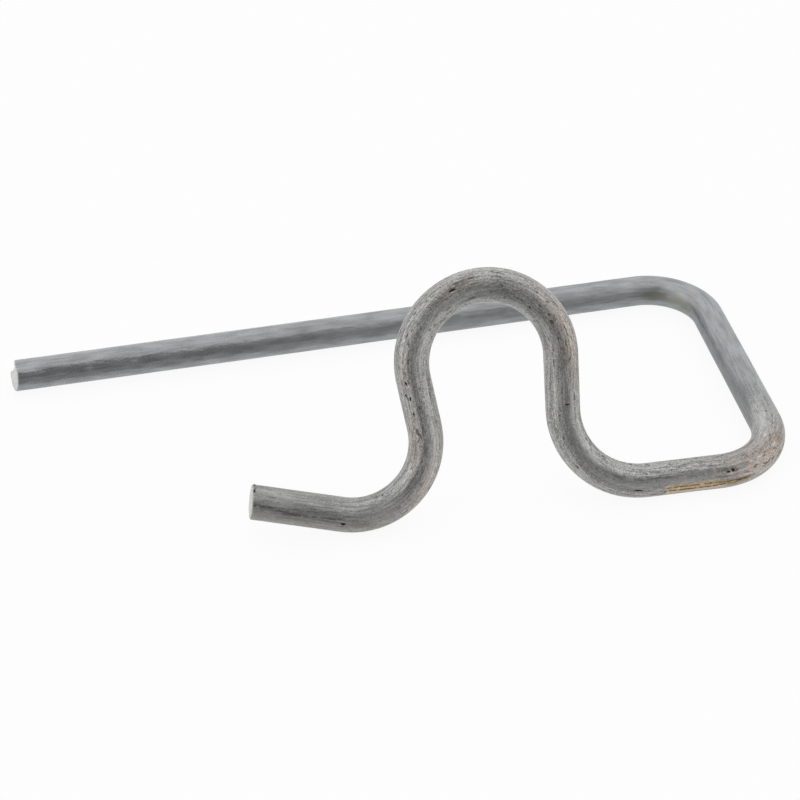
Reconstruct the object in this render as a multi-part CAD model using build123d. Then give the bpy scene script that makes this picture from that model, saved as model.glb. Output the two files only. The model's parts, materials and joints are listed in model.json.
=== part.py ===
from build123d import *
from math import asin, cos, degrees, radians, sin, tan
import os

# Hitch R clip: one length of round spring wire, cropped at both ends and bent cold.
# The straight leg goes through the cross hole of a pin, and the hump snaps over the pin's outside.
# The clip lies on its leg, bridge, front run and tail bend, with the hump standing up.

# Wire
wire_diameter = 5.0

# Straight leg, from the middle of its cut end to the first corner
leg_length = 104.0

# Flat end loop: the corner at the leg, the bridge, and the corner into the front run
leg_corner_inside_radius = 7.0
leg_corner_turn = 94.0
bridge_length = 29.0
front_corner_inside_radius = 8.0
front_corner_turn = 89.0
front_run_length = 11.2

# Hump: a foot bend up, an arc over the pin that closes in at its neck, and a bend out to the tail
foot_inside_radius = 9.3
riser_lean = 1.5
hump_inside_radius = 8.3
hump_centre_height = 20.3
drop_lean = 8.0
tail_bend_inside_radius = 7.8
tail_rise = 15.0
tail_length = 13.0

# Cut ends: the leg is cropped on a slant that faces forward and up, the tail is cropped square
leg_cut_slant = 17.0
leg_cut_facing = 35.0
cut_edge_round = 0.25

# Radii along the middle of the wire
wire_radius = wire_diameter / 2
leg_corner_radius = leg_corner_inside_radius + wire_radius
front_corner_radius = front_corner_inside_radius + wire_radius
foot_radius = foot_inside_radius + wire_radius
hump_radius = hump_inside_radius + wire_radius
tail_bend_radius = tail_bend_inside_radius + wire_radius

# The flat loop lies in one plane; the leg starts one diameter early, and that spare end is cropped off
with BuildLine() as flat_loop:
    leg = Line((-wire_diameter, 0), (leg_length, 0))
    leg_corner = JernArc(leg @ 1, leg % 1, leg_corner_radius, -leg_corner_turn)
    bridge = PolarLine(leg_corner @ 1, bridge_length, direction=leg_corner % 1)
    front_corner = JernArc(bridge @ 1, bridge % 1, front_corner_radius, -front_corner_turn)
    front_run = PolarLine(front_corner @ 1, front_run_length, direction=front_corner % 1)

# Straight stretches that put the hump's centre at its height and the tail bend level with the front run
riser_turn = 90 + riser_lean
drop_turn = 90 + drop_lean
foot_rise = foot_radius * (1 - cos(radians(riser_turn)))
riser_top = hump_centre_height + hump_radius * cos(radians(riser_turn))
riser_length = (riser_top - foot_rise) / sin(radians(riser_turn))
drop_top = hump_centre_height + hump_radius * cos(radians(drop_turn))
tail_bend_rise = tail_bend_radius * (1 - cos(radians(drop_turn)))
drop_length = (drop_top - tail_bend_rise) / sin(radians(drop_turn))

# The hump's own profile: X runs on from the front run, Y is up the hump
with BuildLine() as hump_profile:
    foot = JernArc((0, 0), (1, 0), foot_radius, riser_turn)
    riser = PolarLine(foot @ 1, riser_length, direction=foot % 1)
    hump = JernArc(riser @ 1, riser % 1, hump_radius, -(riser_turn + drop_turn))
    drop = PolarLine(hump @ 1, drop_length, direction=hump % 1)
    tail_bend = JernArc(drop @ 1, drop % 1, tail_bend_radius, drop_turn + tail_rise)
    tail = PolarLine(tail_bend @ 1, tail_length, direction=tail_bend % 1)

# The hump leans towards the leg until the axis of the pin that it grips meets the axis of the leg
run_direction = front_run % 1
below_hump = front_run @ 1 + run_direction * hump.arc_center.X
leg_distance = below_hump.Y / run_direction.X
hump_lean = degrees(asin(hump_centre_height / leg_distance))
upright = Plane(origin=front_run @ 1, x_dir=run_direction, z_dir=run_direction.cross(Vector(0, 0, 1)))
hump_place = upright.location * Rot(X=hump_lean)

# One round section carried along the whole path
path = Wire(flat_loop.edges() + (hump_place * hump_profile.line).edges())
blank = sweep(Plane(origin=path @ 0, z_dir=path % 0) * Circle(wire_radius), path=path)

# Crop the leg's spare end on its slant, then break the sharp edges that cropping leaves
facing = Vector(0, -cos(radians(leg_cut_facing)), sin(radians(leg_cut_facing)))
leg_cut = Plane(origin=(0, 0, 0), z_dir=Vector(-1, 0, 0) + facing * tan(radians(leg_cut_slant)))
wire = split(blank, bisect_by=leg_cut, keep=Keep.BOTTOM)
end_faces = wire.faces().filter_by(GeomType.PLANE)
wire = fillet(end_faces.edges(), cut_edge_round)

# Stand the clip on its lowest points, with the middle of its footprint at the origin
extent = wire.bounding_box()
foot_point = Vector(extent.center().X, extent.center().Y, extent.min.Z)
wire_clip = Pos(-foot_point) * wire

os.makedirs("parts", exist_ok=True)
export_step(wire_clip, "parts/wire_clip.step")
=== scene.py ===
import bpy
import json
import numpy as np
from mathutils import Matrix, Vector


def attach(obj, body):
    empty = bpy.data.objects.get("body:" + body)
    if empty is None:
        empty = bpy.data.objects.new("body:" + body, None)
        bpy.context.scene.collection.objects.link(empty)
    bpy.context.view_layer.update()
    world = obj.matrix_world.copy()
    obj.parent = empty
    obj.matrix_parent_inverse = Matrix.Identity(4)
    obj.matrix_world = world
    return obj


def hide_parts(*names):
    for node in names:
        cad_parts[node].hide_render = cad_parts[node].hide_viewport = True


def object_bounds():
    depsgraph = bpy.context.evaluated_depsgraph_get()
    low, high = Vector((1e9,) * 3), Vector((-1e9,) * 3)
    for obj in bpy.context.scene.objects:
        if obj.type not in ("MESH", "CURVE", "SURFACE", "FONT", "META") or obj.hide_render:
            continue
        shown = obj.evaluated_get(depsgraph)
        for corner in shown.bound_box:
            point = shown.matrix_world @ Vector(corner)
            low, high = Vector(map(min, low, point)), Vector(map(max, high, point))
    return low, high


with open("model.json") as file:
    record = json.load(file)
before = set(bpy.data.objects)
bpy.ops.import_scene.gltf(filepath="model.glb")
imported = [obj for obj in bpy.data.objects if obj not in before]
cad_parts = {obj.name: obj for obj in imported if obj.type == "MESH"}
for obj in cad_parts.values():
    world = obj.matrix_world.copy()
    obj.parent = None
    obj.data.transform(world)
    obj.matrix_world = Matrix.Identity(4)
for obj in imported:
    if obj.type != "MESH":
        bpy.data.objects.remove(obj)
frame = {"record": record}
cad_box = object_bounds()

# The bent wire is the whole clip: hard-drawn spring steel, pulled through a round die, cropped from the coil
# and bent cold round pegs. Leg, end loop, hump and tail are one length, so the marks that the die left run
# along it and follow every bend, and the cropped ends show bright metal.
mm = 0.001
leg_mount = next(mount for mount in frame["record"]["mounts"] if mount["name"] == "leg")
wire_radius = leg_mount["dims"]["r_mm"] * mm
leg_length = leg_mount["dims"]["length_mm"] * mm
leg_corner_radius = 7.0 * mm + wire_radius
leg_corner_turn = 94.0
bridge_length = 29.0 * mm
front_corner_radius = 8.0 * mm + wire_radius
front_corner_turn = 89.0
front_run_length = 11.2 * mm
foot_radius = 9.3 * mm + wire_radius
riser_turn = 91.5
hump_radius = 8.3 * mm + wire_radius
hump_centre_height = 20.3 * mm
drop_turn = 98.0
tail_bend_radius = 7.8 * mm + wire_radius
tail_rise = 15.0
tail_length = 13.0 * mm
leg_cut_slant = 15.2
leg_cut_facing = 48.0
leg_cut_proud = 0.21 * mm
leg_bite_slant = 5.5
leg_bite_facing = 40.0
leg_bite_side = 323.0
leg_bite_depth = 0.08 * mm
leg_bite_from = 0.25
leg_bite_full = 0.55
tail_cut_slant = 4.0
tail_cut_facing = 222.0
tail_cut_proud = 0.19 * mm
cut_edge_round = 0.25 * mm
tail_burr_height = 0.16 * mm
tail_burr_turn = 20.0
tail_burr_inset = 0.2
tail_burr_half_sizes = (0.25, 0.45)
die_ripple_count = 40
die_ripple_height = 0.010 * mm
torn_count = 30
torn_closeness = 9.0
torn_height = 0.05 * mm
torn_calm_middle = 1.6


def straight(length):
    """A straight stretch: its length, and no radius or axis."""
    return length, None, None


def bend(radius, degrees, axis):
    """A bend: the length of its arc, the radius of its middle line and the axis that it turns about."""
    return radius * np.radians(degrees), radius, np.asarray(axis, float)


def turned(vectors, axis, angles):
    """Vectors turned about an axis: the part along the axis stays, and the rest swings round by the angle."""
    along_axis = (vectors @ axis)[..., None] * axis
    across = vectors - along_axis
    swing = angles[:, None, None]
    return along_axis + np.cos(swing) * across + np.sin(swing) * np.cross(axis, across)


def into_stretch(place, axes, distance, radius, axis):
    """Places and axes at distances into one stretch. On a straight stretch the place moves ahead and the axes
    stay. In a bend both turn about its axis, by the distance over the radius."""
    if radius is None:
        return place + distance[:, None] * axes[0], np.repeat(axes[None], len(distance), 0)
    angle = distance / radius
    inward = np.cross(axis, axes[0])
    arc = np.sin(angle)[:, None] * axes[0] + (1 - np.cos(angle))[:, None] * inward
    return place + radius * arc, turned(axes[None], axis, angle)


rounding = 1e-9


def follow(stretches, distances):
    """Places and axes (ahead, up, side) of the wire's middle at distances from the leg's tip. Each stretch
    starts where the one before it ends, so the wire is carried through its bends without twisting."""
    places = np.zeros((len(distances), 3))
    axes_there = np.zeros((len(distances), 3, 3))
    place = np.zeros(3)
    axes = np.array([[1.0, 0, 0], [0, 0, 1.0], [0, -1.0, 0]])
    start = 0.0
    for length, radius, axis in stretches:
        reached = distances >= start - rounding
        found = into_stretch(place, axes, distances[reached] - start, radius, axis)
        places[reached], axes_there[reached] = found
        ends = into_stretch(place, axes, np.array([length]), radius, axis)
        place, axes = ends[0][0], ends[1][0]
        start += length
    return places, axes_there


down = (0, 0, -1)
flat_loop = [
    straight(leg_length),
    bend(leg_corner_radius, leg_corner_turn, down),
    straight(bridge_length),
    bend(front_corner_radius, front_corner_turn, down),
    straight(front_run_length),
]

# The straight stretches of the hump, and the lean that brings a gripped pin's axis to the leg
sin_riser, cos_riser = np.sin(np.radians(riser_turn)), np.cos(np.radians(riser_turn))
sin_drop, cos_drop = np.sin(np.radians(drop_turn)), np.cos(np.radians(drop_turn))
riser_length = (hump_centre_height + hump_radius * cos_riser - foot_radius * (1 - cos_riser)) / sin_riser
drop_length = (hump_centre_height + hump_radius * cos_drop - tail_bend_radius * (1 - cos_drop)) / sin_drop
flat_length = sum(length for length, radius, axis in flat_loop)
run_end, run_axes = follow(flat_loop, np.array([flat_length]))
run_direction = run_axes[0, 0]
hump_station = (foot_radius + hump_radius) * sin_riser + riser_length * cos_riser
below_hump = run_end[0] + run_direction * hump_station
hump_lean = np.arcsin(hump_centre_height / (below_hump[1] / run_direction[0]))
sideways = np.cross(run_direction, (0, 0, 1.0))
hump_up = np.cos(hump_lean) * np.array([0, 0, 1.0]) + np.sin(hump_lean) * sideways
turn_up = np.cross(run_direction, hump_up)
wire_stretches = flat_loop + [
    bend(foot_radius, riser_turn, turn_up),
    straight(riser_length),
    bend(hump_radius, riser_turn + drop_turn, -turn_up),
    straight(drop_length),
    bend(tail_bend_radius, drop_turn + tail_rise, turn_up),
    straight(tail_length),
]
wire_length = sum(length for length, radius, axis in wire_stretches)

# Nicks and pits as they lie on the wire: mm from the leg's tip, degrees round from its top, half length along
# the wire and half width round it in mm, depth in mm
pits = [
    (163.9, 309, 0.32, 0.36, 0.18), (164.5, 305, 0.38, 0.20, 0.14), (177.9, 273, 0.85, 0.18, 0.05),
    (224.4, 318, 0.65, 0.22, 0.16), (212.4, 267, 0.30, 0.16, 0.05), (206.0, 252, 0.22, 0.20, 0.12),
    (209.6, 294, 0.30, 0.14, 0.05), (228.4, 255, 0.35, 0.12, 0.05), (238.6, 330, 0.26, 0.24, 0.11),
    (240.3, 341, 0.30, 0.20, 0.10), (240.8, 327, 0.45, 0.20, 0.09), (243.1, 327, 0.40, 0.16, 0.06),
    (195.9, 300, 0.16, 0.60, 0.08), (149.2, 6, 0.22, 0.16, 0.04), (163.2, 307, 0.16, 0.16, 0.06),
    (266.0, 275, 0.40, 0.28, 0.12), (259.1, 355, 0.35, 0.16, 0.05), (278.9, 350, 0.24, 0.42, 0.14),
    (278.65, 2, 0.20, 0.20, 0.08), (278.8, 16, 0.16, 0.18, 0.06),
]
scattered_pits = 150
scattered_from, scattered_to = 150.0, wire_length / mm - 2
scattered_share = 0.6
scattered_half_length = (0.2, 0.7)
scattered_half_width = (0.07, 0.14)
scattered_depth = (0.01, 0.05)
rng = np.random.default_rng(7)


def hollows(along, around, places):
    """The depth of a set of pits, and the share of full depth, at each point. Each pit is a bell that falls
    off with the square of the distance along the wire and round it, measured in the pit's half length and
    half width. Depths add up, and of the shares the largest holds."""
    total = np.zeros(np.broadcast(along, around).shape)
    deep = np.zeros_like(total)
    for far, turn, half_length, half_width, depth in places:
        gap = np.angle(np.exp(1j * (around - np.radians(turn)))) * wire_radius
        bell = np.exp(-(((along - far * mm) / (half_length * mm)) ** 2 + (gap / (half_width * mm)) ** 2))
        deep = np.maximum(deep, bell)
        total = total + bell * depth * mm
    return total, deep


def die_waves(along, around, count, height):
    """The unevenness of drawn wire: a sum of cosines, each with one to eight whole waves round the wire and
    a wave of 4 to 40 mm along it, with a phase and a share of its own."""
    waves_round = rng.integers(1, 9, count)
    wavelength = rng.uniform(4, 40, count) * mm
    phase = rng.uniform(0, 2 * np.pi, count)
    share = rng.uniform(0.4, 1.0, count) / np.sqrt(count)
    ripples = np.zeros(np.broadcast(along, around).shape)
    for rounds, length, shift, part in zip(waves_round, wavelength, phase, share):
        ripples += part * np.cos(rounds * around + 2 * np.pi * along / length + shift)
    return ripples * height


# Rings of the wire's skin: out over the leg's cut face, round its edge, along the wire, round the edge of the
# tail's cut and in over its face
rings_on_face = 14
rings_on_edge = 6
rings_on_wire = 990
points_round = 96
edge_turn = np.linspace(0, np.pi / 2, rings_on_edge + 1)[1:]
first_rim = 0.05
face_rims = np.linspace(first_rim, 1, rings_on_face) * (wire_radius - cut_edge_round)
edge_rims = wire_radius - cut_edge_round * (1 - np.sin(edge_turn))
edge_depths = cut_edge_round * (1 - np.cos(edge_turn))
wire_stations = np.linspace(cut_edge_round, wire_length - cut_edge_round, rings_on_wire)[1:-1]
stations = np.concatenate([
    np.zeros(rings_on_face), edge_depths, wire_stations, wire_length - edge_depths[::-1],
    np.full(rings_on_face, wire_length)])
rims = np.concatenate([
    face_rims, edge_rims, np.full(len(wire_stations), wire_radius), edge_rims[::-1], face_rims[::-1]])
on_wire = np.clip((rims - wire_radius + cut_edge_round) / cut_edge_round, 0, 1)[:, None]
along = stations[:, None]
around = np.linspace(0, 2 * np.pi, points_round, endpoint=False)[None, :]

small_pits = np.column_stack([
    rng.uniform(scattered_from, scattered_to, scattered_pits), rng.uniform(0, 360, scattered_pits),
    rng.uniform(*scattered_half_length, scattered_pits), rng.uniform(*scattered_half_width, scattered_pits),
    rng.uniform(*scattered_depth, scattered_pits)])
pit_depth, pit_share = hollows(along, around, pits)
small_depth, small_share = hollows(along, around, small_pits)
burr_place = (wire_length / mm - tail_burr_inset, tail_burr_turn, *tail_burr_half_sizes, 0)
tail_burr = tail_burr_height * hollows(along, around, [burr_place])[1]
die_ripples = die_waves(along, around, die_ripple_count, die_ripple_height)
relief = die_ripples - pit_depth - small_depth + tail_burr
rim_radius = rims[:, None] + on_wire * relief


# The cut faces: the blade went almost squarely into the leg's upper back, and the rest of the leg broke on a
# slant. The tail's cut is almost square. Both have the torn ground that cropping leaves.
def cut_slant(slant, facing):
    """How far a slanted cut sets the end back: its slope times the distance towards its facing side."""
    return np.tan(np.radians(slant)) * rims[:, None] * np.cos(around - np.radians(facing))


def near_end(from_end):
    """Full at the end of the wire, and eased out to nothing over one wire diameter."""
    return np.clip(1 - from_end / (2 * wire_radius), 0, 1) ** 2


torn = die_waves(rims[:, None] * torn_closeness, around, torn_count, torn_height) * (1 - on_wire)
torn = torn * np.minimum(1, torn_calm_middle * rims[:, None] / wire_radius) ** 2
towards_bite = rims[:, None] * np.cos(around - np.radians(leg_bite_side)) / wire_radius
bitten = np.clip((towards_bite - leg_bite_from) / (leg_bite_full - leg_bite_from), 0, 1)
bitten = bitten * bitten * (3 - 2 * bitten)
broken_face = cut_slant(leg_cut_slant, leg_cut_facing) - leg_cut_proud
bitten_face = cut_slant(leg_bite_slant, leg_bite_facing) + leg_bite_depth
tip_setback = (broken_face + bitten * (bitten_face - broken_face)) * near_end(along) + torn
tail_face = cut_slant(tail_cut_slant, tail_cut_facing) - tail_cut_proud
tail_setback = tail_face * near_end(wire_length - along) + torn
setback = np.where(along < wire_length / 2, tip_setback, -tail_setback)

places, axes_there = follow(wire_stretches, stations)
ahead_there, up_there, side_there = axes_there[:, None, 0], axes_there[:, None, 1], axes_there[:, None, 2]
outward = np.cos(around)[..., None] * up_there + np.sin(around)[..., None] * side_there
skin = places[:, None] + setback[..., None] * ahead_there + rim_radius[..., None] * outward
tip_pole = places[0] - leg_cut_proud * axes_there[0, 0]
tail_pole = places[-1] + tail_cut_proud * axes_there[-1, 0]
leg_tip = np.array(leg_mount["pos_m"]) - np.array([leg_length / 2, 0, 0])
points = np.concatenate([skin.reshape(-1, 3), [tip_pole], [tail_pole]]) + leg_tip

ring_count = len(stations)
index = np.arange(ring_count * points_round).reshape(ring_count, points_round)
following = np.roll(index, -1, axis=1)
quads = np.stack([index[:-1], following[:-1], following[1:], index[1:]], axis=-1).reshape(-1, 4)
tip_pole_index = ring_count * points_round
tip_fan = np.stack([np.full(points_round, tip_pole_index), following[0], index[0]], axis=-1)
tail_fan = np.stack([index[-1], following[-1], np.full(points_round, tip_pole_index + 1)], axis=-1)

mesh = bpy.data.meshes.new("bent_wire")
mesh.from_pydata(points.tolist(), [], quads.tolist() + tip_fan.tolist() + tail_fan.tolist())
mesh.polygons.foreach_set("use_smooth", np.ones(len(mesh.polygons), bool))
mesh.update()


def keep(name, kind, field, values, at_poles):
    """Stores one value per point of the wire's skin, with the two poles last."""
    flat = np.concatenate([np.reshape(values, (ring_count * points_round, -1)), at_poles]).astype(np.float32)
    mesh.attributes.new(name, kind, "POINT").data.foreach_set(field, flat.ravel())


# Where each point was before the wire was bent, in mm, so that the marks of the die follow the bends
before_bending = np.broadcast_arrays(
    along + setback, rims[:, None] * np.cos(around), rims[:, None] * np.sin(around))
unbent = np.stack(before_bending, axis=-1) / mm
keep("unbent", "FLOAT_VECTOR", "vector", unbent, [[0, 0, 0], [wire_length / mm, 0, 0]])
keep("pit", "FLOAT", "value", np.maximum(pit_share, scattered_share * small_share) * on_wire, [[0], [0]])
keep("cut", "FLOAT", "value", np.broadcast_to(1 - on_wire, (ring_count, points_round)), [[1], [1]])

# Stains, oil, dark lines, scratches, painted highlights and painted shade: mm from the leg's tip, degrees
# round from its top, half length along the wire and half width round it in mm, strength
stains = [
    (159.5, 316, 5.5, 2.4, 1.0), (155.5, 322, 3.0, 1.6, 0.7), (172.5, 291, 2.0, 0.8, 0.5),
    (165.5, 295, 2.0, 0.8, 0.6), (208.0, 318, 5.0, 1.8, 0.55), (202.5, 311, 5.0, 1.4, 0.6),
    (247.0, 350, 5.0, 1.6, 0.6), (252.5, 265, 5.0, 1.6, 0.6), (224.0, 322, 2.5, 0.7, 0.7),
    (237.0, 330, 3.0, 1.0, 0.5), (161.8, 305, 2.5, 1.2, 0.6),
]
oil_tints = [
    (107.5, 74, 2.5, 0.7, 0.7), (111.6, 79, 3.0, 0.9, 1.0), (115.6, 85, 2.0, 0.8, 0.9),
    (113.5, 55, 4.0, 1.6, 0.4), (155.0, 320, 1.8, 0.8, 0.6), (221.0, 305, 3.0, 1.0, 0.5),
    (226.5, 315, 2.5, 1.0, 0.5), (247.5, 342, 1.5, 0.5, 0.7), (271.5, 264, 7.0, 0.8, 0.6),
    (263.0, 268, 3.0, 0.9, 0.6),
]
# Darker lines along the wire, on the bridge, the foot, the hump and the drop
dark_lines = [
    (254.5, 309, 1.4, 0.5, 0.9), (251.6, 307, 1.6, 0.4, 0.8), (248.4, 306, 1.8, 0.35, 0.7),
    (138.8, 30, 1.0, 0.7, 0.5), (228.0, 320, 2.5, 0.4, 0.6), (233.0, 312, 3.0, 0.4, 0.6),
    (187.5, 306, 4.0, 0.40, 0.8), (181.0, 309, 3.0, 0.35, 0.8), (174.0, 311, 4.0, 0.35, 0.7),
    (213.5, 280, 3.5, 0.6, 0.6), (216.5, 287, 2.0, 0.5, 0.6), (262.0, 330, 3.0, 0.3, 0.5),
]
scratches = [
    (223.6, 333, 1.1, 0.30, 0.7), (221.6, 335, 1.2, 0.16, 0.9), (219.8, 330, 1.2, 0.14, 0.7),
    (217.8, 329, 0.8, 0.18, 1.0), (216.2, 322, 0.7, 0.18, 0.9), (223.0, 318, 0.9, 0.18, 0.8),
    (223.2, 264, 1.0, 0.15, 0.9), (221.8, 268, 0.8, 0.15, 0.9), (221.0, 278, 0.4, 0.20, 0.6),
    (237.2, 328, 0.6, 0.20, 0.8), (237.6, 270, 1.4, 0.14, 0.9), (235.8, 318, 0.8, 0.16, 0.7),
    (240.0, 307, 1.5, 0.16, 0.8), (242.6, 306, 0.6, 0.18, 0.8), (244.9, 306, 1.0, 0.16, 0.7),
    (262.6, 2, 2.0, 0.15, 0.8), (277.6, 298, 1.6, 0.24, 0.8), (275.2, 291, 1.2, 0.18, 0.8),
    (273.0, 287, 1.6, 0.20, 1.0), (270.3, 289, 1.3, 0.18, 0.9), (268.0, 289, 0.9, 0.20, 0.9),
    (276.0, 333, 1.6, 0.16, 0.7), (161.9, 354, 0.8, 0.16, 0.8), (162.3, 324, 0.6, 0.16, 0.8),
    (159.5, 312, 0.4, 0.16, 0.8), (159.4, 285, 0.24, 0.18, 1.0), (158.8, 286, 0.20, 0.16, 0.9),
    (156.9, 348, 0.4, 0.16, 0.8), (155.7, 343, 0.4, 0.18, 0.9), (155.1, 349, 0.35, 0.18, 0.8),
    (158.5, 350, 0.5, 0.16, 0.7), (161.1, 312, 0.25, 0.16, 0.7), (161.4, 270, 0.5, 0.18, 0.8),
    (164.7, 316, 0.50, 0.16, 0.8), (142.4, 354, 0.25, 0.30, 0.6), (146.0, 345, 0.35, 0.25, 0.6),
    (147.6, 9, 0.30, 0.22, 0.6), (151.2, 9, 0.45, 0.30, 0.8), (151.8, 4, 0.30, 0.22, 0.7),
    (150.4, 356, 0.30, 0.20, 0.6), (266.6, 292, 0.60, 0.16, 0.8), (262.0, 324, 1.20, 0.14, 0.6),
]
# Painted highlights: lighter spots that stand in for glints and for light falling on the wire, beside the
# dark band that it reflects and on the leg's dark band
painted_highlights = [
    (159.6, 322, 0.55, 0.15, 1.0), (156.1, 322, 0.5, 0.15, 1.0), (155.4, 4, 0.35, 0.18, 1.0),
    (161.1, 321, 0.22, 0.15, 1.0), (11.8, 63, 0.6, 0.25, 0.8), (19.0, 60, 0.6, 0.25, 0.8),
    (152.0, 25, 4.0, 1.2, 0.45), (179.0, 287, 6.0, 0.65, 0.40), (170.0, 294, 6.0, 0.5, 0.50),
    (45.0, 62, 14.0, 1.2, 0.06), (75.0, 62, 16.0, 1.2, 0.14), (100.0, 60, 9.0, 1.2, 0.14),
    (260.0, 298, 5.0, 0.9, 0.38), (250.0, 278, 4.5, 0.8, 0.40), (190.0, 324, 5.0, 0.8, 0.25),
    (36.0, 49, 5.0, 0.6, 0.20), (57.0, 63, 5.0, 0.5, 0.20), (163.0, 292, 3.0, 0.8, 0.15),
    (190.0, 281, 4.0, 0.5, 0.20), (198.5, 285, 4.0, 0.5, 0.30), (225.0, 289, 4.0, 0.5, 0.30),
    (233.5, 286, 4.0, 0.4, 0.30), (241.5, 317, 3.5, 0.5, 0.25), (163.0, 325, 2.0, 0.5, 0.15),
    (115.0, 56, 3.5, 0.7, 0.20),
]
# Painted shade: darker spots that deepen the dark band reflected along the leg, foot and riser, and the shade
# inside the loop along the bridge and its corners
painted_shade_spots = [
    (107.0, 74, 3.0, 0.6, 0.3), (111.5, 80, 3.0, 0.8, 0.5), (116.0, 86, 3.0, 0.9, 0.5),
    (123.0, 84, 6.0, 1.3, 0.60), (131.0, 83, 6.0, 1.5, 0.65), (140.5, 80, 6.0, 1.7, 1.0),
    (147.5, 82, 3.0, 1.2, 0.6), (166.0, 345, 6.0, 2.0, 0.25), (160.0, 350, 5.0, 2.0, 0.15),
    (168.0, 315, 5.0, 0.4, 0.65), (176.0, 313, 5.0, 0.4, 0.65), (184.0, 310, 6.0, 0.5, 0.35),
    (207.0, 258, 6.0, 1.2, 0.20), (215.0, 264, 5.0, 1.2, 0.65), (223.5, 267, 5.0, 0.9, 0.50),
    (144.0, 46, 4.0, 0.6, 0.60), (144.0, 5, 4.0, 1.5, 0.25), (152.0, 335, 4.0, 1.2, 0.25),
    (190.0, 302, 5.0, 0.7, 0.95), (180.0, 307, 4.5, 0.5, 0.85), (198.5, 306, 5.0, 0.6, 0.70),
    (206.5, 303, 3.5, 0.4, 0.30), (215.5, 322, 4.0, 0.7, 0.45), (260.5, 325, 5.0, 0.5, 0.55),
    (272.0, 330, 6.0, 0.7, 0.30), (20.0, 30, 13.0, 0.6, 0.35), (47.0, 33, 6.0, 0.7, 0.65),
    (57.0, 30, 5.0, 0.6, 0.30), (95.0, 42, 10.0, 0.6, 0.30), (107.0, 88, 3.5, 0.8, 0.35),
    (15.0, 83, 8.0, 0.6, 0.50), (36.0, 84, 6.0, 0.6, 0.35), (36.0, 39, 4.0, 0.3, 0.35),
]


def spread(marks):
    """The share of a mark at each point: the sum of bell-shaped spots, each as strong as its last number
    says, up to a full share, and none on the cut faces."""
    spots = sum(
        strength * hollows(along, around, [(far, turn, half_length, half_width, 0)])[1]
        for far, turn, half_length, half_width, strength in marks)
    return np.clip(spots, 0, 1) * on_wire


keep("stain", "FLOAT", "value", spread(stains), [[0], [0]])
keep("oil", "FLOAT", "value", spread(oil_tints), [[0], [0]])
keep("dark_line", "FLOAT", "value", spread(dark_lines), [[0], [0]])
keep("scratch", "FLOAT", "value", spread(scratches), [[0], [0]])
# The painted highlights, stored on the skin
keep("painted_highlight", "FLOAT", "value", spread(painted_highlights), [[0], [0]])
# The painted shade, stored on the skin
keep("painted_shade", "FLOAT", "value", spread(painted_shade_spots), [[0], [0]])

bent_wire = bpy.data.objects.new("bent_wire", mesh)
bpy.context.scene.collection.objects.link(bent_wire)

drawn_steel = bpy.data.materials.new("drawn_steel")
drawn_steel.use_nodes = True
tree = drawn_steel.node_tree
shader = tree.nodes["Principled BSDF"]


def node(kind, settings=None, **inputs):
    """Adds one shader node to the tree in hand. Settings are its own options, and inputs are values or the
    sockets to link. An input goes by its label, or by its number after an underscore."""
    made = tree.nodes.new(kind)
    for name, value in (settings or {}).items():
        setattr(made, name, value)
    for name, value in inputs.items():
        socket = made.inputs[int(name[1:]) if name[1:].isdigit() else name.replace("_", " ")]
        if isinstance(value, bpy.types.NodeSocket):
            tree.links.new(value, socket)
        else:
            socket.default_value = value
    return made


def wire_noise(stretch, scale, detail, distortion=0.0):
    """Noise on the wire as it was before bending: its place along the wire is divided by the stretch."""
    drawn = node("ShaderNodeMapping", Vector=unbent_place, Scale=(1 / stretch, 1, 1))
    made = node("ShaderNodeTexNoise", Vector=drawn.outputs["Vector"], Scale=scale, Detail=detail,
                Distortion=distortion)
    return made.outputs["Fac"]


def math(operation, first, second=0.0):
    """One operation on two values or sockets."""
    return node("ShaderNodeMath", {"operation": operation}, _0=first, _1=second).outputs["Value"]


def ramp(value, low, high, to_low=0.0, to_high=1.0):
    """A value carried from one range to another and held at both ends, on a smooth step."""
    made = node("ShaderNodeMapRange", {"interpolation_type": "SMOOTHSTEP"}, Value=value, From_Min=low,
                From_Max=high, To_Min=to_low, To_Max=to_high)
    return made.outputs["Result"]


def mixed(share, under, over, blend="MIX"):
    """One colour laid over another by a share, mixed or multiplied. A Mix node's share is its input 0, and
    its colours are inputs 6 and 7."""
    made = node("ShaderNodeMix", {"data_type": "RGBA", "blend_type": blend})
    for number, value in ((0, share), (6, under), (7, over)):
        if isinstance(value, bpy.types.NodeSocket):
            tree.links.new(value, made.inputs[number])
        else:
            made.inputs[number].default_value = value
    return made.outputs[2]


def stored(name, output):
    """Reads one of the values stored on the wire's skin."""
    return node("ShaderNodeAttribute", {"attribute_name": name}).outputs[output]


unbent_place = stored("unbent", "Vector")
pit = stored("pit", "Fac")
stain = stored("stain", "Fac")
oil = stored("oil", "Fac")
dark_line = stored("dark_line", "Fac")
scratch = stored("scratch", "Fac")
# The painted highlights' spots
painted_highlight = stored("painted_highlight", "Fac")
# The painted shade's spots
painted_shade = stored("painted_shade", "Fac")
cut = stored("cut", "Fac")
unbent_parts = node("ShaderNodeSeparateXYZ", Vector=unbent_place).outputs
from_tip = unbent_parts["X"]
grain = wire_noise(stretch=1.3, scale=5.6, detail=2.0)
streaks = wire_noise(stretch=22, scale=4.2, detail=2.0)
die_lines = wire_noise(stretch=60, scale=8.0, detail=2.0)
blotches = wire_noise(stretch=3.0, scale=0.8, detail=2.0)
flecks = wire_noise(stretch=3.0, scale=2.6, detail=3.0, distortion=0.3)
sparks = wire_noise(stretch=3.0, scale=4.4, detail=1.0)
stain_noise = wire_noise(stretch=2.0, scale=2.6, detail=3.0)
oil_noise = wire_noise(stretch=3.0, scale=1.2, detail=2.0)
dark_line_noise = wire_noise(stretch=3.5, scale=2.2, detail=3.0)
scratch_noise = wire_noise(stretch=2.5, scale=2.6, detail=2.0)
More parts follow.
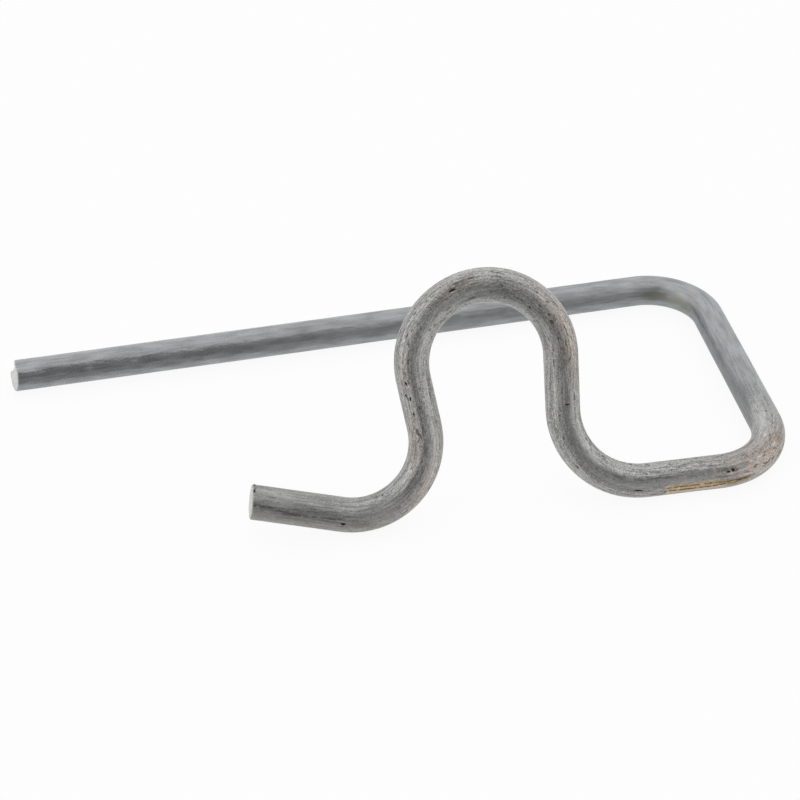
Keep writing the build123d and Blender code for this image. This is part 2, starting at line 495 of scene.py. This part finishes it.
pit_noise = wire_noise(stretch=1.0, scale=5.0, detail=2.0)
rub_noise = wire_noise(stretch=1.0, scale=2.5, detail=2.0)
cream_noise = wire_noise(stretch=3.0, scale=3.0, detail=2.0)
dash_noise = wire_noise(stretch=1.8, scale=2.4, detail=1.0)
ripple_noise = wire_noise(stretch=2.5, scale=0.9, detail=2.0)
noise_middle = 0.5

light_grey = (0.555, 0.552, 0.537, 1)
dark_grey = (0.221, 0.219, 0.212, 1)
fleck_grey = (0.085, 0.082, 0.077, 1)
spark_grey = (0.70, 0.70, 0.69, 1)
dark_line_grey = (0.13, 0.125, 0.11, 1)
# The grey that the painted shade darkens towards
painted_shade_grey = (0.165, 0.17, 0.172, 1)
pit_black = (0.03, 0.027, 0.024, 1)
scratch_grey = (0.075, 0.070, 0.062, 1)
oil_grey = (0.275, 0.265, 0.205, 1)
stain_tint = (1.0, 0.82, 0.72, 1)
rub_tan = (0.74, 0.575, 0.37, 1)
rub_pale = (0.78, 0.68, 0.56, 1)
rub_cream = (0.96, 0.83, 0.63, 1)
rub_olive = (0.34, 0.27, 0.15, 1)
rub_brown = (0.10, 0.06, 0.025, 1)
cut_bright = (0.70, 0.70, 0.69, 1)
cut_dull = (0.53, 0.53, 0.52, 1)
tail_dark = (0.25, 0.25, 0.248, 1)
tail_light = (0.375, 0.374, 0.370, 1)
leg_dark = (0.296, 0.305, 0.315, 1)
leg_light = (0.406, 0.424, 0.442, 1)

# The wire is smooth along the leg and most of the bridge. From the front corner on it is rubbed rough and
# marked, and the tail less so.
worked_from, worked_full = 136, 154
worked_fades, worked_ends = 250, 276
worked_at_tail = 0.35
worked_cover = 0.8
worked = math("MULTIPLY", ramp(from_tip, worked_from, worked_full),
              ramp(from_tip, worked_ends, worked_fades, worked_at_tail, 1.0))
grain_share, streak_share, blotch_share = 0.50, 0.38, 0.12
mottle_dark, mottle_light = 0.39, 0.61
streaked = math("ADD", math("MULTIPLY", streaks, streak_share), math("MULTIPLY", blotches, blotch_share))
mottle = math("ADD", math("MULTIPLY", grain, grain_share), streaked)
skin_colour = mixed(ramp(mottle, mottle_dark, mottle_light), dark_grey, light_grey)
smooth_blotch_share, smooth_streak_share = 0.65, 0.35
smooth_dark, smooth_light = 0.36, 0.64
smooth_mottle = math("ADD", math("MULTIPLY", blotches, smooth_blotch_share),
                     math("MULTIPLY", streaks, smooth_streak_share))
smooth_mottle = ramp(smooth_mottle, smooth_dark, smooth_light)
leg_colour = mixed(smooth_mottle, leg_dark, leg_light)
tail_colour = mixed(smooth_mottle, tail_dark, tail_light)
tail_colour_from, tail_colour_full = 150, 240
smooth_colour = mixed(ramp(from_tip, tail_colour_from, tail_colour_full), leg_colour, tail_colour)
smooth_share = math("SUBTRACT", worked_cover, math("MULTIPLY", worked, worked_cover))
skin_colour = mixed(smooth_share, skin_colour, smooth_colour)

# Dark flecks in clusters and bright sparks on the worked stretches
fleck_strength = 0.8
spark_strength = 0.6
fleck_clustering = 0.5
fleck_starts, fleck_full = 0.62, 0.70
spark_starts, spark_full = 0.60, 0.70
clusters = math("MULTIPLY", math("SUBTRACT", blotches, noise_middle), fleck_clustering)
fleck_share = math("MULTIPLY", ramp(math("ADD", flecks, clusters), fleck_starts, fleck_full),
                   math("MULTIPLY", worked, fleck_strength))
skin_colour = mixed(fleck_share, skin_colour, fleck_grey)
spark_share = math("MULTIPLY", ramp(sparks, spark_starts, spark_full),
                   math("MULTIPLY", worked, spark_strength))
skin_colour = mixed(spark_share, skin_colour, spark_grey)

# Painted shade, then stains, oil, dark lines and scratches, each broken up by a noise of its own, then the
# painted highlights and the pits
painted_shade_strength = 0.6
oil_strength = 0.65
dark_line_strength = 0.7
scratch_strength = 0.85
painted_highlight_strength = 0.9
pit_strength = 0.95
pit_raggedness = 0.6
stain_starts, stain_full = 0.28, 0.62
oil_starts, oil_full = 0.34, 0.56
dark_line_starts, dark_line_full = 0.40, 0.60
scratch_starts, scratch_full = 0.36, 0.50
pit_rim, pit_floor = 0.40, 0.62
pit_reach_ends, pit_reach_full = 0.10, 0.30
# Painted shade: the spots darken the skin towards its grey
skin_colour = mixed(math("MULTIPLY", painted_shade, painted_shade_strength), skin_colour, painted_shade_grey)
stain_here = math("MULTIPLY", stain, ramp(stain_noise, stain_starts, stain_full))
skin_colour = mixed(stain_here, skin_colour, stain_tint, "MULTIPLY")
oil_here = math("MULTIPLY", oil, ramp(oil_noise, oil_starts, oil_full))
skin_colour = mixed(math("MULTIPLY", oil_here, oil_strength), skin_colour, oil_grey)
# Darker lines along the wire, broken up by a noise
dark_line_here = math("MULTIPLY", dark_line, ramp(dark_line_noise, dark_line_starts, dark_line_full))
skin_colour = mixed(math("MULTIPLY", dark_line_here, dark_line_strength), skin_colour, dark_line_grey)
scratch_here = math("MULTIPLY", scratch, ramp(scratch_noise, scratch_starts, scratch_full))
skin_colour = mixed(math("MULTIPLY", scratch_here, scratch_strength), skin_colour, scratch_grey)
# Painted highlight: the spots lighten the skin towards a pale grey
skin_colour = mixed(math("MULTIPLY", painted_highlight, painted_highlight_strength), skin_colour, spark_grey)
pit_edge = math("ADD", pit, math("MULTIPLY", math("SUBTRACT", pit_noise, noise_middle), pit_raggedness))
pit_here = math("MULTIPLY", ramp(pit_edge, pit_rim, pit_floor), ramp(pit, pit_reach_ends, pit_reach_full))
skin_colour = mixed(math("MULTIPLY", pit_here, pit_strength), skin_colour, pit_black)

# The rub mark on the front run's outer side: a tan strip with two rows of dark dashes, pale along its lower
# edge and worn thin towards the corner. Places along it are in mm from the leg's tip, and places across it in
# mm from the middle between its rows.
rub_from, rub_to = 161.2, 174.3
rub_starts, rub_full, rub_wide = rub_from - 0.5, rub_from + 1.5, rub_from + 6
rub_shift_ends, rub_worn_until = rub_from + 5, rub_from + 5.5
rub_tapers_from = rub_to - 0.8
rub_turn = 265.5
rub_strength = 0.85
rub_raggedness = 0.45
rub_thin_half, rub_wide_half = 0.40, 1.02
rub_thin_shift = 0.25
rub_worn_share = 0.8
rub_edge_outside, rub_edge_inside = -0.12, 0.32
cream_starts, cream_full = 0.50, 0.58
gap_edge, gap_core, gap_cream_share = 0.19, 0.07, 0.6
olive_full, olive_ends, olive_share = 0.36, 0.60, 0.45
pale_starts, pale_full = -0.48, -0.70
strip_below_rows = 0.12
rows_close, rows_apart = 0.05, 0.31
row_edge, row_core = 0.18, 0.05
row_raggedness = 0.5
dash_starts, dash_full = 0.38, 0.50
lower_row_until, upper_row_from = -0.1, 0.1
lower_row_share, upper_row_share = 0.9, 0.72
turn_here = math("ARCTAN2", unbent_parts["Z"], unbent_parts["Y"])
rub_offset = math("MULTIPLY", math("ADD", turn_here, np.radians(360 - rub_turn)), wire_radius / mm)
rub_offset = math("SUBTRACT", rub_offset, ramp(from_tip, rub_shift_ends, rub_from, 0.0, rub_thin_shift))
rub_half_width = math("MULTIPLY", ramp(from_tip, rub_from, rub_wide, rub_thin_half, rub_wide_half),
                      ramp(from_tip, rub_to, rub_tapers_from))
rub_wander = math("MULTIPLY", math("SUBTRACT", rub_noise, noise_middle), rub_raggedness)
off_strip = math("ABSOLUTE", math("ADD", rub_offset, strip_below_rows))
rub_edge = math("ADD", math("SUBTRACT", rub_half_width, off_strip), rub_wander)
rub = math("MULTIPLY", ramp(rub_edge, rub_edge_outside, rub_edge_inside),
           ramp(from_tip, rub_starts, rub_full))
between_rows = ramp(math("ABSOLUTE", rub_offset), gap_edge, gap_core, 0.0, gap_cream_share)
cream_share = math("MAXIMUM", ramp(cream_noise, cream_starts, cream_full), between_rows)
strip_colour = mixed(cream_share, rub_tan, rub_cream)
strip_colour = mixed(ramp(mottle, olive_full, olive_ends, olive_share, 0.0), strip_colour, rub_olive)
pale_share = ramp(math("ADD", rub_offset, rub_wander), pale_starts, pale_full)
strip_colour = mixed(pale_share, strip_colour, rub_pale)
worn = ramp(from_tip, rub_worn_until, rub_full, 0.0, rub_worn_share)
strip_colour = mixed(worn, strip_colour, rub_olive)
skin_colour = mixed(math("MULTIPLY", rub, rub_strength), skin_colour, strip_colour)
row_place = ramp(from_tip, rub_full, rub_wide, rows_close, rows_apart)
row_offset = math("SUBTRACT", math("ABSOLUTE", rub_offset), row_place)
row_offset = math("ABSOLUTE", math("ADD", row_offset, math("MULTIPLY", rub_wander, row_raggedness)))
rows = math("MULTIPLY", ramp(row_offset, row_edge, row_core), ramp(dash_noise, dash_starts, dash_full))
row_share = ramp(rub_offset, lower_row_until, upper_row_from, lower_row_share, upper_row_share)
skin_colour = mixed(math("MULTIPLY", math("MULTIPLY", rows, rub), row_share), skin_colour, rub_brown)

# The cut ends: torn metal, brighter than the skin
cut_mottle_dull, cut_mottle_bright = 0.40, 0.60
cut_colour = mixed(ramp(mottle, cut_mottle_dull, cut_mottle_bright), cut_dull, cut_bright)
skin_colour = mixed(cut, skin_colour, cut_colour)

# The skin is smoothest at the leg's tip. The grain, the die lines and the flecks stand out most where the
# wire was worked, and a slow ripple runs along all of it.
tip_roughness = 0.20
grain_roughness = 0.16
worn_roughness = 0.14
smooth_until, worn_after = 15, 95
mark_roughness = 0.25
grain_relief, line_relief, fleck_relief = 0.6, 0.5, -0.4
fine_height = 0.06 * mm
ripple_height = 0.14 * mm
fine_on_leg, fine_when_worked = 0.12, 0.45
ripple_strength = 0.9
skin_roughness = math("ADD", tip_roughness, math("MULTIPLY", grain, grain_roughness))
skin_roughness = math("ADD", skin_roughness, ramp(from_tip, smooth_until, worn_after, 0.0, worn_roughness))
marked = math("MAXIMUM", rub, pit_here)
skin_roughness = math("ADD", skin_roughness, math("MULTIPLY", marked, mark_roughness))
lines_and_flecks = math("ADD", math("MULTIPLY", die_lines, line_relief),
                        math("MULTIPLY", flecks, fleck_relief))
heights = math("ADD", math("MULTIPLY", grain, grain_relief), lines_and_flecks)
fine_strength = ramp(from_tip, worked_from, worked_full, fine_on_leg, fine_when_worked)
fine_bump = node("ShaderNodeBump", Strength=fine_strength, Distance=fine_height, Height=heights)
ripple = node("ShaderNodeBump", Strength=ripple_strength, Distance=ripple_height, Height=ripple_noise,
              Normal=fine_bump.outputs["Normal"])
shader.inputs["Metallic"].default_value = 1.0
tree.links.new(skin_colour, shader.inputs["Base Color"])
tree.links.new(skin_roughness, shader.inputs["Roughness"])
tree.links.new(ripple.outputs["Normal"], shader.inputs["Normal"])
mesh.materials.append(drawn_steel)

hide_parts("wire_clip")
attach(bent_wire, "root")

# The floor: a plain white sheet that lies under the clip, wider than any view. It shows white to the camera
# and still takes the clip's soft shadow, and the metal mostly looks past it at the white tent's own floor.
floor_half = 3.0
floor_height = cad_box[0].z
corners = np.array([[-1, -1, 0], [1, -1, 0], [1, 1, 0], [-1, 1, 0]]) * floor_half
floor_mesh = bpy.data.meshes.new("floor")
floor_mesh.from_pydata((corners + [0, 0, floor_height]).tolist(), [], [[0, 1, 2, 3]])
floor = bpy.data.objects.new("floor", floor_mesh)
bpy.context.scene.collection.objects.link(floor)

white_sheet = bpy.data.materials.new("white_sheet")
white_sheet.use_nodes = True
tree = white_sheet.node_tree
tree.nodes.clear()
sheet_white = (0.92, 0.92, 0.92, 1)
shadow_left = 0.08
metal_looks_past = 0.7
rays = node("ShaderNodeLightPath").outputs
lit = node("ShaderNodeBsdfDiffuse", Color=sheet_white).outputs["BSDF"]
white = node("ShaderNodeEmission", Color=(1, 1, 1, 1), Strength=1.0).outputs["Emission"]
past = node("ShaderNodeBsdfTransparent").outputs["BSDF"]
seen_white = math("MULTIPLY", rays["Is Camera Ray"], 1 - shadow_left)
sheet = node("ShaderNodeMixShader", _0=seen_white, _1=lit, _2=white).outputs["Shader"]
in_metal = math("MAXIMUM", rays["Is Glossy Ray"], rays["Is Transmission Ray"])
past_share = math("MULTIPLY", in_metal, metal_looks_past)
surface = node("ShaderNodeMixShader", _0=past_share, _1=sheet, _2=past).outputs["Shader"]
tree.links.new(surface, node("ShaderNodeOutputMaterial").inputs["Surface"])
floor_mesh.materials.append(white_sheet)

# The light: a tent of white cloth all round the clip, soft and even, with no lamp of its own. Its front is
# open where the viewer stands, and that side is dark, which draws the dark band along the wire.
tent = bpy.data.worlds.new("tent")
tent.use_nodes = True
bpy.context.scene.world = tent
tree = tent.node_tree
opening_direction = Vector((-0.14, -1.0, 0.0)).normalized()
opening_dark = (0.29, 0.29, 0.29, 1)
tent_white = (1.0, 1.0, 1.0, 1)
opening_edge, opening_full = 0.64, 0.93
opening_top_ends, opening_top = 0.93, 0.75
opening_foot_ends, opening_foot = -1.10, -0.42
least_level = 0.01
looking = node("ShaderNodeTexCoord").outputs["Generated"]
towards_opening = node("ShaderNodeVectorMath", {"operation": "DOT_PRODUCT"}, _0=looking, _1=opening_direction)
height_there = node("ShaderNodeSeparateXYZ", Vector=looking).outputs["Z"]
level_part = math("SQRT", math("SUBTRACT", 1.0, math("MULTIPLY", height_there, height_there)))
facing_opening = math("DIVIDE", towards_opening.outputs["Value"], math("MAXIMUM", level_part, least_level))
open_height = math("MULTIPLY", ramp(height_there, opening_top_ends, opening_top),
                   ramp(height_there, opening_foot_ends, opening_foot))
open_share = math("MULTIPLY", ramp(facing_opening, opening_edge, opening_full), open_height)
tent_colour = mixed(open_share, tent_white, opening_dark)
tree.links.new(tent_colour, tree.nodes["Background"].inputs["Color"])
tree.nodes["Background"].inputs["Strength"].default_value = 1.0

# The camera: it stands above and in front of the clip, a little towards the leg's tip, with a long lens.
# It is turned by a degree about its own axis, as the photo is.
camera_place = Vector((-0.04267, -0.19920, 0.15833))
camera_aim = Vector((-0.00187, -0.00870, 0.01200))
camera_roll = 0.90
lens_length = 74.78
ahead = (camera_aim - camera_place).normalized()
level = ahead.cross(Vector((0, 0, 1))).normalized()
right = Matrix.Rotation(np.radians(camera_roll), 3, ahead) @ level
camera = bpy.data.objects.new("camera", bpy.data.cameras.new("camera"))
camera.data.lens = lens_length
camera.data.sensor_width = 36.0
camera.data.clip_start = 0.01
camera.matrix_world = Matrix.Translation(camera_place) @ Matrix(
    (right, right.cross(ahead), -ahead)).transposed().to_4x4()
bpy.context.scene.collection.objects.link(camera)
bpy.context.scene.camera = camera
bpy.context.scene.view_settings.view_transform = "Standard"
